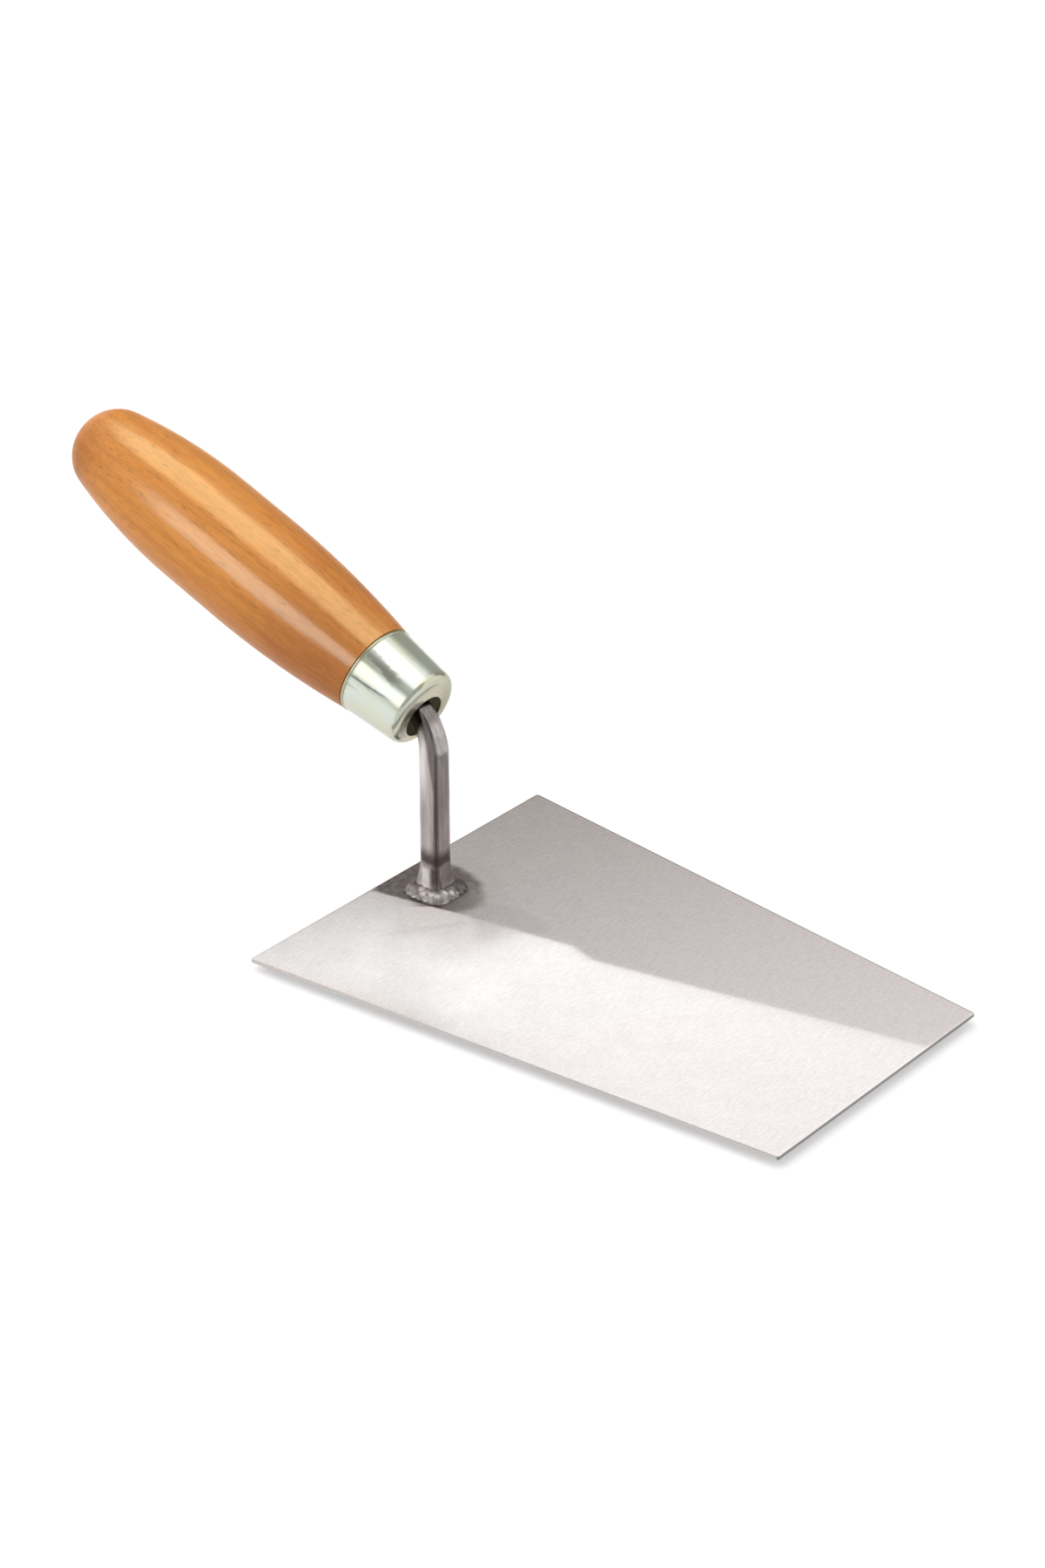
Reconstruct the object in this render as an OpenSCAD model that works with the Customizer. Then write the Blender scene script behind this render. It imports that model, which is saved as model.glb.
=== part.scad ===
// Trapezoid plastering trowel: a flat blade, a bent tang welded to it, a ferrule and a turned wooden handle.
// Millimetres. The origin lies on the blade's underside, below the shank's axis.
// +X runs to the blade's front edge, +Z runs up, and the plane y = 0 is the plane of symmetry.

/* [Blade] */
// Length of the blade from its heel edge to its front edge
blade_length = 180; // [140:1:240]
// Width of the blade at its heel edge
heel_width = 132; // [100:1:180]
// Width of the blade at its front edge
front_width = 95; // [60:1:150]
// Thickness of the blade
blade_thickness = 1.2; // [0.8:0.1:3]
// Radius of the blade's corners
corner_radius = 1; // [0.5:0.1:6]
// Distance from the heel edge to the shank's axis
shank_setback = 15; // [12:0.5:40]

/* [Tang] */
// Side of the square bar
bar_side = 7.2; // [5:0.1:9]
// Radius on the long edges of the bar
bar_edge_radius = 1.4; // [0.5:0.1:2]
// Height of the straight shank, from the blade to the start of the bend
shank_height = 47.5; // [30:0.5:80]
// Radius of the bend, at the middle of the bar
bend_radius = 16; // [12:0.5:24]
// Side of the bar where the bend ends and the spike starts
spike_side = 5.7; // [4:0.1:7]
// Side of the spike at its tip
tip_side = 2.4; // [1.5:0.1:3.5]
// Length of the spike from the bend to its point
spike_length = 72; // [45:1:90]
// Length of the drawn-out point of the spike
point_length = 4; // [2:0.5:8]

/* [Foot] */
// Side of the forged foot where it meets the blade
foot_side = 11.6; // [9.5:0.1:16]
// Height over which the foot flares out of the shank
foot_height = 12; // [6:0.5:20]
// How sharply the foot flares: a larger power keeps the flare lower
foot_flare = 2; // [1.5:0.1:4]
// Width of the weld bead on the blade
bead_width = 2.5; // [2:0.1:5]
// Height of the weld bead up the foot
bead_height = 2.8; // [2:0.1:5]
// Number of lumps round the weld bead
bead_lumps = 13; // [8:1:20]
// Height of the lumps, as a share of the bead's own size
bead_lump_share = 0.13; // [0:0.01:0.25]

/* [Ferrule] */
// Length of the ferrule
ferrule_length = 21.6; // [16:0.1:32]
// Outer diameter of the ferrule at its rim, under the rolled bead
ferrule_rim_diameter = 29.3; // [26:0.1:32]
// Outer diameter of the ferrule's cone, carried on to its front face
ferrule_front_diameter = 25.3; // [22:0.1:26]
// Thickness of the ferrule's wall
ferrule_wall = 0.8; // [0.5:0.1:1.5]
// Outer radius of the rounded edge round the ferrule's front face
ferrule_shoulder = 3; // [2:0.1:4]
// Radius of the rolled bead on the ferrule's rim
rim_bead_radius = 0.7; // [0.4:0.1:1]
// How far the rolled bead stands out of the cone
rim_bead_proud = 0.15; // [0.1:0.05:0.4]
// How far the ferrule reaches over the bend of the tang
ferrule_reach = 7.7; // [5:0.1:10]
// Gap between the bar's edges and the hole in the ferrule's front
mouth_clearance = 2.7; // [1:0.1:3.5]

/* [Handle] */
// Angle between the handle's axis and the blade
handle_tilt = 20.4; // [10:0.1:35]
// Length of the wood that shows, from the ferrule to the butt
handle_length = 127.5; // [105:0.5:160]
// Greatest diameter of the handle
handle_diameter = 38; // [34:0.5:46]
// Diameter of the wood where it meets the ferrule
collar_diameter = 29.5; // [28:0.1:33]
// Length of the curved taper from the ferrule to the straight middle
taper_length = 53; // [40:1:65]
// Length of the straight middle
belly_length = 21; // [10:1:35]
// Radius of the rounded edge of the butt
butt_radius = 13.1; // [9:0.1:14]
// Radius of the lathe nib at the butt
nib_radius = 1.3; // [0.8:0.1:3]
// Height of the lathe nib
nib_height = 1.7; // [0.5:0.1:3]

/* [Fits] */
// Gap left between pieces that are driven or pressed together
fit_gap = 0.1; // [0.05:0.01:0.3]
// Gap between the end of the bend and the front of the wood
nose_gap = 0.5; // [0.2:0.1:2]
// Free depth of the socket past the spike's tip
socket_relief = 4; // [1:0.5:10]

/* [Hidden] */

// Steps of the curved pieces
turned_fn = 128;
arc_steps = 16;
section_steps = 48;
foot_steps = 8;
bend_steps = 12;
bead_steps = 104;
bead_wall_steps = 3;
bead_face_steps = 5;

// Bar section: a rounded square, drawn as a superellipse with the same diagonal
edge_cut = 1 - sqrt(1 / 2);
section_power = -ln(2) / ln(1 - edge_cut * 2 * bar_edge_radius / bar_side);
diagonal_share = (bar_side / 2 - bar_edge_radius) * sqrt(2) / bar_side + bar_edge_radius / bar_side;

// Handle axis: it leaves the end of the bend, back and up
bend_base = blade_thickness + shank_height;
bend_angle = 90 - handle_tilt;
axis_dir = [-cos(handle_tilt), 0, sin(handle_tilt)];
axis_up = [sin(handle_tilt), 0, cos(handle_tilt)];
bend_centre = [-bend_radius, 0, bend_base];
bend_end = bend_centre + bend_radius * axis_up;
mouth = bend_end - ferrule_reach * axis_dir;

// Hole in the ferrule's front, centred on the bent bar where it passes through
mouth_drop = bend_radius - sqrt(pow(bend_radius, 2) - pow(ferrule_reach, 2));
mouth_radius = bar_side * diagonal_share + mouth_clearance;

// Ferrule cone, measured from its front face
cone_slope = (ferrule_rim_diameter - ferrule_front_diameter) / 2 / ferrule_length;
cone_angle = atan(cone_slope);
shoulder_centre = [
    ferrule_front_diameter / 2 + ferrule_shoulder * (cone_slope - 1 / cos(cone_angle)),
    ferrule_shoulder
];

// Rolled bead on the rim, from where it leaves the cone to the rim's end
rim_bead_centre = [
    ferrule_rim_diameter / 2 + rim_bead_proud - rim_bead_radius,
    ferrule_length - rim_bead_radius
];
rim_bead_depth = (ferrule_skin(rim_bead_centre[1]) - rim_bead_centre[0]) * cos(cone_angle);
rim_bead_from = -cone_angle - acos(rim_bead_depth / rim_bead_radius);

// Handle stations, measured along its axis from the ferrule's front face
nose_at = ferrule_reach + nose_gap;
belly_from = ferrule_length + taper_length;
belly_to = belly_from + belly_length;
butt_at = ferrule_length + handle_length;
butt_centre = butt_at - butt_radius;
tip_at = ferrule_reach + spike_length - point_length;
socket_end = ferrule_reach + spike_length + socket_relief;

// Handle arcs: one tapers to the collar, one falls to the butt, one rounds the butt
belly_r = handle_diameter / 2;
taper_drop = belly_r - collar_diameter / 2;
taper_arc = (pow(taper_length, 2) + pow(taper_drop, 2)) / (2 * taper_drop);
taper_angle = asin(taper_length / taper_arc);
butt_run = butt_centre - belly_to;
butt_drop = belly_r - nib_radius;
back_arc = (pow(butt_run, 2) + pow(butt_drop, 2) - pow(butt_radius, 2)) / (2 * (butt_drop - butt_radius));
back_angle = asin(butt_run / (back_arc - butt_radius));

// Points on an arc, which may leave out the first one
function arc(centre, radius, from, to, first = 0) = [
    for (k = [first : arc_steps])
        let (angle = from + (to - from) * k / arc_steps)
        centre + radius * [cos(angle), sin(angle)]
];

// Convex outline, counter-clockwise, with an arc at each corner
function rounded_outline(corners, radius) = [
    for (i = [0 : len(corners) - 1])
        let (corner = corners[i])
        let (before = corner - corners[(i + len(corners) - 1) % len(corners)])
        let (after = corners[(i + 1) % len(corners)] - corner)
        let (start = atan2(before[1], before[0]) - 90)
        let (turn = acos(before * after / norm(before) / norm(after)))
        let (inward = after / norm(after) - before / norm(before))
        let (centre = corner + inward / norm(inward) * radius / cos(turn / 2))
        each arc(centre, radius, start, start + turn)
];

// Distance from the centre to the section's edge at one angle
function section_reach(half, angle) =
    half / pow(pow(abs(cos(angle)), section_power) + pow(abs(sin(angle)), section_power), 1 / section_power);

// Half the side of the foot at a height above the blade
function foot_half(z) =
    bar_side / 2 + (foot_side - bar_side) / 2 * pow(max(0, 1 - z / foot_height), foot_flare);

// Outer and inner radius of the ferrule's cone at a distance from its front face
function ferrule_skin(at) = ferrule_front_diameter / 2 + cone_slope * at;
function ferrule_bore(at) = ferrule_skin(at) - ferrule_wall / cos(cone_angle);

// Radius of the socket at a distance from the ferrule's front face
function socket_r(at) =
    let (share = (at - ferrule_reach) / (tip_at - ferrule_reach))
    (spike_side + (tip_side - spike_side) * share) * diagonal_share + fit_gap;

// Point on a ring of the tang: centre, direction of the ring's first axis, half side and angle
function ring_point(centre, normal, half, angle) =
    centre + section_reach(half, angle) * (cos(angle) * normal + sin(angle) * [0, 1, 0]);

// Stations of the tang from the foot to the point, each a centre, a direction and half the bar's side
function foot_stations() = [
    for (k = [0 : foot_steps])
        let (z = foot_height * k / foot_steps)
        [[0, 0, blade_thickness + z], [1, 0, 0], foot_half(z)]
];
function bend_stations() = [
    for (k = [0 : bend_steps])
        let (share = k / bend_steps)
        let (turn = bend_angle * share)
        let (out = [cos(turn), 0, sin(turn)])
        [bend_centre + bend_radius * out, out, (bar_side + (spike_side - bar_side) * share) / 2]
];
function tip_station() =
    [[bend_end + (spike_length - point_length) * axis_dir, axis_up, tip_side / 2]];

// Puts a child that stands on its own Z axis onto the handle's axis, with Z running to the butt
module along_handle() {
    translate(mouth) rotate([0, handle_tilt - 90, 0]) children();
}

// Flat trapezoid plate
module blade() {
    back = -shank_setback;
    front = blade_length - shank_setback;
    corners = [
        [back, -heel_width / 2],
        [front, -front_width / 2],
        [front, front_width / 2],
        [back, heel_width / 2],
    ];
    color([0.78, 0.76, 0.75])
        linear_extrude(blade_thickness)
            polygon(rounded_outline(corners, corner_radius));
}

// Square bar lofted from the flared foot through the shank and the bend to the point of the spike
module tang() {
    stations = concat(foot_stations(), bend_stations(), tip_station());
    last = len(stations) - 1;
    rings = [
        for (s = stations, i = [0 : section_steps - 1])
            ring_point(s[0], s[1], s[2], 360 * i / section_steps)
    ];
    foot_middle = len(rings);
    point = foot_middle + 1;
    ends = [[0, 0, blade_thickness], bend_end + spike_length * axis_dir];
    function at(k, i) = k * section_steps + i % section_steps;
    sides = [
        for (k = [0 : last - 1], i = [0 : section_steps - 1])
            each [[at(k, i), at(k + 1, i), at(k + 1, i + 1)], [at(k, i), at(k + 1, i + 1), at(k, i + 1)]]
    ];
    caps = [
        for (i = [0 : section_steps - 1])
            each [[at(0, i), at(0, i + 1), foot_middle], [at(last, i + 1), at(last, i), point]]
    ];
    color([0.55, 0.52, 0.50])
        polyhedron(concat(rings, ends), concat(sides, caps));
}

// Lumpy fillet of weld metal round the foot
module weld_bead() {
    // Section of the bead, as shares of its width and height: up the foot's wall, then down the round face
    wall = [for (j = [0 : bead_wall_steps]) [0, j / bead_wall_steps]];
    face = [for (j = [1 : bead_face_steps]) let (a = 90 * j / bead_face_steps) [sin(a), cos(a)]];
    section = concat(wall, face);
    loop = len(section);
    points = [
        for (i = [0 : bead_steps - 1])
            let (angle = 360 * i / bead_steps)
            let (lump = 1 + bead_lump_share * sin(bead_lumps * angle))
            for (p = section)
                let (z = bead_height * lump * p[1])
                let (reach = section_reach(foot_half(z), angle) + fit_gap + bead_width * lump * p[0])
                [reach * cos(angle), reach * sin(angle), blade_thickness + z]
    ];
    function at(i, j) = (i % bead_steps) * loop + j % loop;
    faces = [
        for (i = [0 : bead_steps - 1], j = [0 : loop - 1])
            each [[at(i, j), at(i + 1, j), at(i + 1, j + 1)], [at(i, j), at(i + 1, j + 1), at(i, j + 1)]]
    ];
    color([0.62, 0.58, 0.55])
        polyhedron(points, faces);
}

// Drawn cap with a rolled rim on the wood side and a hole in its front for the bent bar
module ferrule() {
    skin = concat(
        [[0, 0]],
        arc(shoulder_centre, ferrule_shoulder, -90, -cone_angle),
        arc(rim_bead_centre, rim_bead_radius, rim_bead_from, 90)
    );
    bore = concat(
        [[ferrule_bore(ferrule_length), ferrule_length]],
        arc(shoulder_centre, ferrule_shoulder - ferrule_wall, -cone_angle, -90),
        [[0, ferrule_wall]]
    );
    color([0.80, 0.82, 0.74])
        along_handle()
            difference() {
                rotate_extrude($fn = turned_fn) polygon(concat(skin, bore));
                translate([-mouth_drop, 0, -ferrule_wall])
                    cylinder(h = 3 * ferrule_wall, r = mouth_radius, $fn = turned_fn);
            }
}

// Turned wooden handle with a tenon under the ferrule, a tapered socket for the spike and a nib at the butt
module handle() {
    tenon = [
        [socket_r(nose_at), nose_at],
        [ferrule_bore(nose_at) - fit_gap, nose_at],
        [ferrule_bore(ferrule_length) - fit_gap, ferrule_length],
    ];
    grip = concat(
        arc([belly_r - taper_arc, belly_from], taper_arc, -taper_angle, 0),
        arc([belly_r - back_arc, belly_to], back_arc, 0, back_angle),
        arc([nib_radius, butt_centre], butt_radius, back_angle, 90, first = 1)
    );
    nib = [[nib_radius, butt_at + nib_height], [0, butt_at + nib_height]];
    socket = [[0, socket_end], [socket_r(tip_at), socket_end], [socket_r(tip_at), tip_at]];
    color([0.76, 0.47, 0.20])
        along_handle()
            rotate_extrude($fn = turned_fn) polygon(concat(tenon, grip, nib, socket));
}

blade();
tang();
weld_bead();
ferrule();
handle();
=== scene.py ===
# %% [markdown]
# # A plastering trowel with a flat trapezoid blade
# The trowel has five pieces: a flat steel blade, a bent square tang, the weld that joins the two, a drawn
# metal ferrule and a turned wooden handle. The solids come ready made, at real size, as a frame. Each piece
# is built again here as a fine surface in the same place, because a mesh with round edges and small flaws
# catches light the way the real one does, and a plain solid does not.

import bpy
import numpy as np
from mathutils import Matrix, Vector


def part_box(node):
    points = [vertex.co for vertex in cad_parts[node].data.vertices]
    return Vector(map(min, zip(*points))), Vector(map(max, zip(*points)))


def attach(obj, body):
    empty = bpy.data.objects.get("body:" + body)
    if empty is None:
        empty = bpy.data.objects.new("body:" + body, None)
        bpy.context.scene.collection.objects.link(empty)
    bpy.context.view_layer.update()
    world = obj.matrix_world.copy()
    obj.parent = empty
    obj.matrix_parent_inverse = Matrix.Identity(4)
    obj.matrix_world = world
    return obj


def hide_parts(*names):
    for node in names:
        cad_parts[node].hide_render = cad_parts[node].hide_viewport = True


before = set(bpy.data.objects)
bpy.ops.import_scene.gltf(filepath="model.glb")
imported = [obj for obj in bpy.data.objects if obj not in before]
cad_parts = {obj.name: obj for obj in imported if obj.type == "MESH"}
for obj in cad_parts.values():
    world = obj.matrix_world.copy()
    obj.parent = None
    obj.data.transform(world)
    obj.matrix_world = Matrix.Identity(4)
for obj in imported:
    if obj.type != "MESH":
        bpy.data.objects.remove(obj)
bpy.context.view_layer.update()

# %% [markdown]
# ## Camera
# The picture looks down on the blade's near corner with a long lens. A camera is easiest to reason about as
# a point it looks at, two angles and a distance, so those four are the values to change.

# %% Camera
MM = 0.001
camera_azimuth = np.radians(40.23)
camera_elevation = np.radians(28.76)
camera_distance = 1088.0
camera_target = np.array([5.41, 34.49, 25.15])
camera_lens = 81.28

to_camera = np.array([
    np.sin(camera_azimuth) * np.cos(camera_elevation),
    -np.cos(camera_azimuth) * np.cos(camera_elevation),
    np.sin(camera_elevation),
])
eye = camera_target + camera_distance * to_camera

camera_data = bpy.data.cameras.new("camera")
camera_data.lens = camera_lens
camera = bpy.data.objects.new("camera", camera_data)
camera.location = eye * MM
camera.rotation_mode = "QUATERNION"
camera.rotation_quaternion = Vector(-to_camera).to_track_quat("-Z", "Y")
bpy.context.scene.collection.objects.link(camera)
bpy.context.scene.camera = camera
print("camera at", eye.round(1), "mm")

# %% [markdown]
# ## From arrays to meshes
# Every piece below is a grid of points: rows run along a profile or a path, columns run round it. One
# helper turns such a grid into a mesh, so the pieces only have to say where their points are. Sizes are
# written in millimetres and become metres here. A closed surface has a positive volume when its faces point
# outwards, which gives an easy test: where the volume comes out negative, every face is turned round.

# %% Mesh helpers
def grid_faces(rows, columns, ring):
    """Quads between neighbouring points of a grid whose columns close on themselves.
    A ring closes its rows too."""
    row = np.arange(rows if ring else rows - 1)[:, None]
    column = np.arange(columns)[None, :]
    here = row * columns
    there = (row + 1) % rows * columns
    beside = (column + 1) % columns
    corners = [here + column, here + beside, there + beside, there + column]
    return np.stack([c.ravel() for c in corners], axis=1)


def fan_faces(row_start, columns, pole):
    """Triangles from one row of the grid to a single point."""
    column = np.arange(columns)
    beside = (column + 1) % columns
    return np.stack([row_start + beside, row_start + column, np.full(columns, pole)], axis=1)


def volume(points, faces):
    """Sum over all triangles of a . (b x c) / 6, with each quad cut into two triangles."""
    total = 0.0
    for k in range(1, faces.shape[1] - 1):
        a, b, c = points[faces[:, 0]], points[faces[:, k]], points[faces[:, k + 1]]
        total += np.einsum("ij,ij->", a, np.cross(b, c)) / 6
    return total


def build_piece(name, grid, poles=None, crease=40):
    """Makes a smooth mesh object from a grid of points in millimetres, shaped (rows, columns, 3).
    Without poles the rows close into a ring; with a first and last pole the two ends close as fans."""
    rows, columns = grid.shape[:2]
    points = grid.reshape(-1, 3)
    faces = [grid_faces(rows, columns, poles is None)]
    if poles is not None:
        points = np.concatenate([points, np.array(poles, float)])
        count = rows * columns
        faces.append(fan_faces(0, columns, count))
        faces.append(fan_faces(count - columns, columns, count + 1)[:, ::-1])
    if sum(volume(points, f) for f in faces) < 0:
        faces = [f[:, ::-1] for f in faces]
    mesh = bpy.data.meshes.new(name)
    mesh.from_pydata((points * MM).tolist(), [], [face for f in faces for face in f.tolist()])
    mesh.shade_smooth()
    mesh.set_sharp_from_angle(angle=np.radians(crease))
    piece = bpy.data.objects.new(name, mesh)
    bpy.context.scene.collection.objects.link(piece)
    print(name, "has", len(mesh.vertices), "points and", len(mesh.polygons), "faces")
    return piece


def fit_piece(piece, node, material):
    """Puts a finished piece in the place of its solid, with the finish that its slot names."""
    piece.data.materials.append(material)
    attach(piece, "root")
    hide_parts(node)
    print(piece.name, "takes the place of", node, "in", material.name)


def arc(centre, radius, start, end, steps):
    """Points of an arc, from one angle to another, in degrees."""
    angle = np.radians(np.linspace(start, end, steps))
    return np.stack([centre[0] + radius * np.cos(angle), centre[1] + radius * np.sin(angle)], axis=1)


# %% [markdown]
# ## From nodes to materials
# A material is a small graph. Helpers keep its building short: one adds a node and feeds its inputs, either
# with a value or with another node's output, one starts a material with its main shader, and one paints
# further colours over a first one, each by its own share. All patterns read Object coordinates, so they
# stay put on the piece and need no unwrapping.

# %% Node helpers
def add_node(tree, kind, inputs=None, **settings):
    """Adds a node with its settings; each input is a value, or the output that feeds it."""
    made = tree.nodes.new(kind)
    for key, value in settings.items():
        setattr(made, key, value)
    for key, value in (inputs or {}).items():
        if isinstance(value, bpy.types.NodeSocket):
            tree.links.new(value, made.inputs[key])
        else:
            made.inputs[key].default_value = value
    return made


def start_material(name, **values):
    """A new material with one main shader, whose constant inputs are set by name."""
    material = bpy.data.materials.new(name)
    material.use_nodes = True
    tree = material.node_tree
    shader = tree.nodes["Principled BSDF"]
    for key, value in values.items():
        shader.inputs[key.replace("_", " ")].default_value = value
    return material, tree, shader


def object_coords(tree):
    """A point's place on its piece, in metres."""
    return add_node(tree, "ShaderNodeTexCoord").outputs["Object"]


def placed_coords(tree, scale=(1, 1, 1), turn=(0, 0, 0), shift=(0, 0, 0)):
    """Object coordinates, scaled, then turned, then shifted."""
    inputs = {"Vector": object_coords(tree), "Scale": scale, "Rotation": turn, "Location": shift}
    return add_node(tree, "ShaderNodeMapping", inputs).outputs["Vector"]


def split(tree, vector):
    """The X, Y and Z of a vector."""
    return add_node(tree, "ShaderNodeSeparateXYZ", {"Vector": vector}).outputs


def length(tree, vector):
    """Distance of a point from the origin."""
    return add_node(tree, "ShaderNodeVectorMath", {0: vector}, operation="LENGTH").outputs["Value"]


def noise(tree, vector, detail=3.0, roughness=0.55):
    """Grey noise from 0 to 1, one feature to each unit of the vector."""
    inputs = {"Vector": vector, "Scale": 1.0, "Detail": detail, "Roughness": roughness}
    return add_node(tree, "ShaderNodeTexNoise", inputs).outputs["Fac"]


# %% [markdown]
# Where a pattern shows is a share from 0 to 1 at each point. Such shares come from a noise or from a place on
# the piece, and they combine like sets: the product of two holds where both do, and the larger of two where
# either does.

# %% Share helpers
def arithmetic(tree, operation, first, second=0):
    """One sum, product or the like of two values."""
    return add_node(tree, "ShaderNodeMath", {0: first, 1: second}, operation=operation).outputs[0]


def plus(tree, first, second):
    """The sum of two values."""
    return arithmetic(tree, "ADD", first, second)


def times(tree, first, second):
    """The product of two values; of two shares, it is the part where both hold."""
    return arithmetic(tree, "MULTIPLY", first, second)


def larger(tree, first, second):
    """The larger of two values; of two shares, it is the part where either holds."""
    return arithmetic(tree, "MAXIMUM", first, second)


def remap(tree, value, low, high, to_low, to_high):
    """Moves the range low..high to to_low..to_high, smoothly and without going past its ends."""
    inputs = {"Value": value, "From Min": low, "From Max": high, "To Min": to_low, "To Max": to_high}
    return add_node(tree, "ShaderNodeMapRange", inputs, interpolation_type="SMOOTHSTEP").outputs["Result"]


def fade(tree, place, low, high, to_low, to_high):
    """The same for a place on the piece, with low and high in millimetres."""
    return remap(tree, place, low * MM, high * MM, to_low, to_high)


def band(tree, place, middle, core, rim, strength):
    """Share of a band: strength within core of its middle, and 0 from its rim on; sizes in millimetres."""
    off_middle = arithmetic(tree, "SUBTRACT", place, middle * MM)
    return fade(tree, arithmetic(tree, "ABSOLUTE", off_middle), core, rim, strength, 0)


# %% [markdown]
# Colours are laid over each other like coats of paint, each by its share. A bump lets the light catch marks
# that are too fine to be worth a mesh.

# %% Colour helpers
def blend_colours(tree, share, first, second, blend_type="MIX"):
    """Mixes two colours by a share from 0 to 1; each is three numbers or the output that gives it."""
    made = add_node(tree, "ShaderNodeMix", {0: share}, data_type="RGBA", blend_type=blend_type)
    sockets = [s for s in made.inputs if s.type == "RGBA"]
    for socket, colour in zip(sockets, (first, second)):
        if isinstance(colour, bpy.types.NodeSocket):
            tree.links.new(colour, socket)
        else:
            socket.default_value = (*colour, 1)
    return next(s for s in made.outputs if s.type == "RGBA")


def paint(tree, colour, layers):
    """Lays further colours over a first one, each by its own share from 0 to 1."""
    for share, over in layers:
        colour = blend_colours(tree, share, colour, over)
    return colour


def add_bump(tree, shader, height, depth):
    """Lets a grey height tilt the shading; depth is in millimetres."""
    bump = add_node(tree, "ShaderNodeBump", {"Height": height, "Distance": depth * MM, "Strength": 1.0})
    tree.links.new(bump.outputs["Normal"], shader.inputs["Normal"])


# %% [markdown]
# ## The blade
# The blade is sheet steel, sheared to a trapezoid and ground. A sharp box edge would render as a hard line,
# so the sheet gets a small round all along its edge. An outline made of arcs about four fixed centres can
# be drawn in by any amount just by shortening the arcs' radius, so the rounded edge is a stack of such
# outlines at rising heights.

# %% Blade surface
blade_low, blade_high = (np.array(corner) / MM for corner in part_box("blade"))
thickness = blade_high[2]
heel_x = blade_low[0]
front_x = blade_high[0]
heel_width = 132.0
front_width = 95.0
corner_radius = 1.0
corner_steps = 13
edge_round = 0.3
edge_steps = 6
flat_margin = 0.9


def blade_outline(inset):
    """Trapezoid with arcs at its corners, drawn in by an inset; counter-clockwise from the near heel."""
    slope = np.degrees(np.arctan2((heel_width - front_width) / 2, front_x - heel_x))
    lean = np.tan(np.radians(45 + slope / 2)) * corner_radius
    snug = np.tan(np.radians(45 - slope / 2)) * corner_radius
    heel_y = heel_width / 2 - lean
    front_y = front_width / 2 - snug
    back, front = heel_x + corner_radius, front_x - corner_radius
    radius = corner_radius - inset
    return np.concatenate([
        arc([back, -heel_y], radius, 180, 270 + slope, corner_steps),
        arc([front, -front_y], radius, 270 + slope, 360, corner_steps),
        arc([front, front_y], radius, 0, 90 - slope, corner_steps),
        arc([back, heel_y], radius, 90 - slope, 180, corner_steps),
    ])


def blade_surface():
    """Stack of outlines: up over the round lower edge, then over the round upper edge. At an angle a along
    the round, the inset is edge_round (1 - cos a) and the height edge_round (1 + sin a)."""
    turn = np.radians(np.linspace(-90, 0, edge_steps))
    inset = edge_round * (1 - np.cos(turn))
    height = edge_round * (1 + np.sin(turn))
    insets = np.concatenate([[flat_margin], inset, inset[::-1], [flat_margin]])
    heights = np.concatenate([[0], height, thickness - height[::-1], [thickness]])
    outlines = [blade_outline(i) for i in insets]
    return np.stack([np.column_stack([o, np.full(len(o), h)]) for o, h in zip(outlines, heights)])


blade_middle = [(heel_x + front_x) / 2, 0]
blade = build_piece("ground_blade", blade_surface(), [[*blade_middle, 0], [*blade_middle, thickness]])

# %% [markdown]
# ## Ground steel
# The sheet is ground at a slant. Such a surface mirrors sharply along its scratches and smears across them,
# which is what the shader's anisotropy does. It needs to know a direction, and a UV map with U across the
# scratches gives it one. Welding has left a brown patch round the foot; a faint halo round it and a tail
# beside it are painted shade. They are soft ellipses in Object coordinates with rims roughened by noise,
# which is quicker to move about than a drawn outline. The patch and the tail end along one slanted line,
# the edge of the bright reflection, so that edge is painted; the patch dulls the shine too. The edges were
# sheared and never ground, so they are duller; the near edges are painted light and the front edge is
# painted shade.

# %% Grinding direction
grind_angle = np.radians(36)


def lay_uv_flat(piece):
    """U is the distance across the scratches, x cos a + y sin a, and V that along them, in metres."""
    mesh = piece.data
    points = np.empty(len(mesh.vertices) * 3, np.float32)
    mesh.vertices.foreach_get("co", points)
    corners = np.empty(len(mesh.loops), np.int32)
    mesh.loops.foreach_get("vertex_index", corners)
    x, y, _ = points.reshape(-1, 3)[corners].T
    across = x * np.cos(grind_angle) + y * np.sin(grind_angle)
    along = y * np.cos(grind_angle) - x * np.sin(grind_angle)
    layer = mesh.uv_layers.new(name="across_grind")
    layer.data.foreach_set("uv", np.stack([across, along], axis=1).ravel())


lay_uv_flat(blade)
print("UV map:", blade.data.uv_layers[0].name)


# %% Heat tint and edges
def bloom(tree, middle, reach, lean, full, waver):
    """Share of a leaning ellipse on the blade: 1 out to the full part of its reach, falling to 0 at its rim,
    which noise makes waver; sizes in millimetres."""
    ellipse = add_node(tree, "ShaderNodeMapping", {
        "Vector": object_coords(tree),
        "Location": (middle[0] * MM, middle[1] * MM, 0),
        "Rotation": (0, 0, np.radians(lean)),
        "Scale": (reach[0] * MM, reach[1] * MM, 1),
    }, vector_type="TEXTURE").outputs["Vector"]
    ripple = noise(tree, placed_coords(tree, (160, 160, 0)), detail=4)
    wavering = plus(tree, length(tree, ellipse), remap(tree, ripple, 0.2, 0.8, -waver, waver))
    return remap(tree, wavering, full, 1, 1, 0)


def past_line(tree, start, slope, soft):
    """1 beyond the slanted line y = start + slope x on the blade and 0 before it; sizes in millimetres."""
    turn = np.arctan(slope)
    shift = (0, -start * np.cos(turn) * MM, 0)
    beyond = split(tree, placed_coords(tree, turn=(0, 0, -turn), shift=shift))["Y"]
    ripple = noise(tree, placed_coords(tree, (300, 300, 0)))
    wavering = plus(tree, beyond, remap(tree, ripple, 0.2, 0.8, -0.3 * MM, 0.3 * MM))
    return fade(tree, wavering, -soft, soft, 0, 1)


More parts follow.
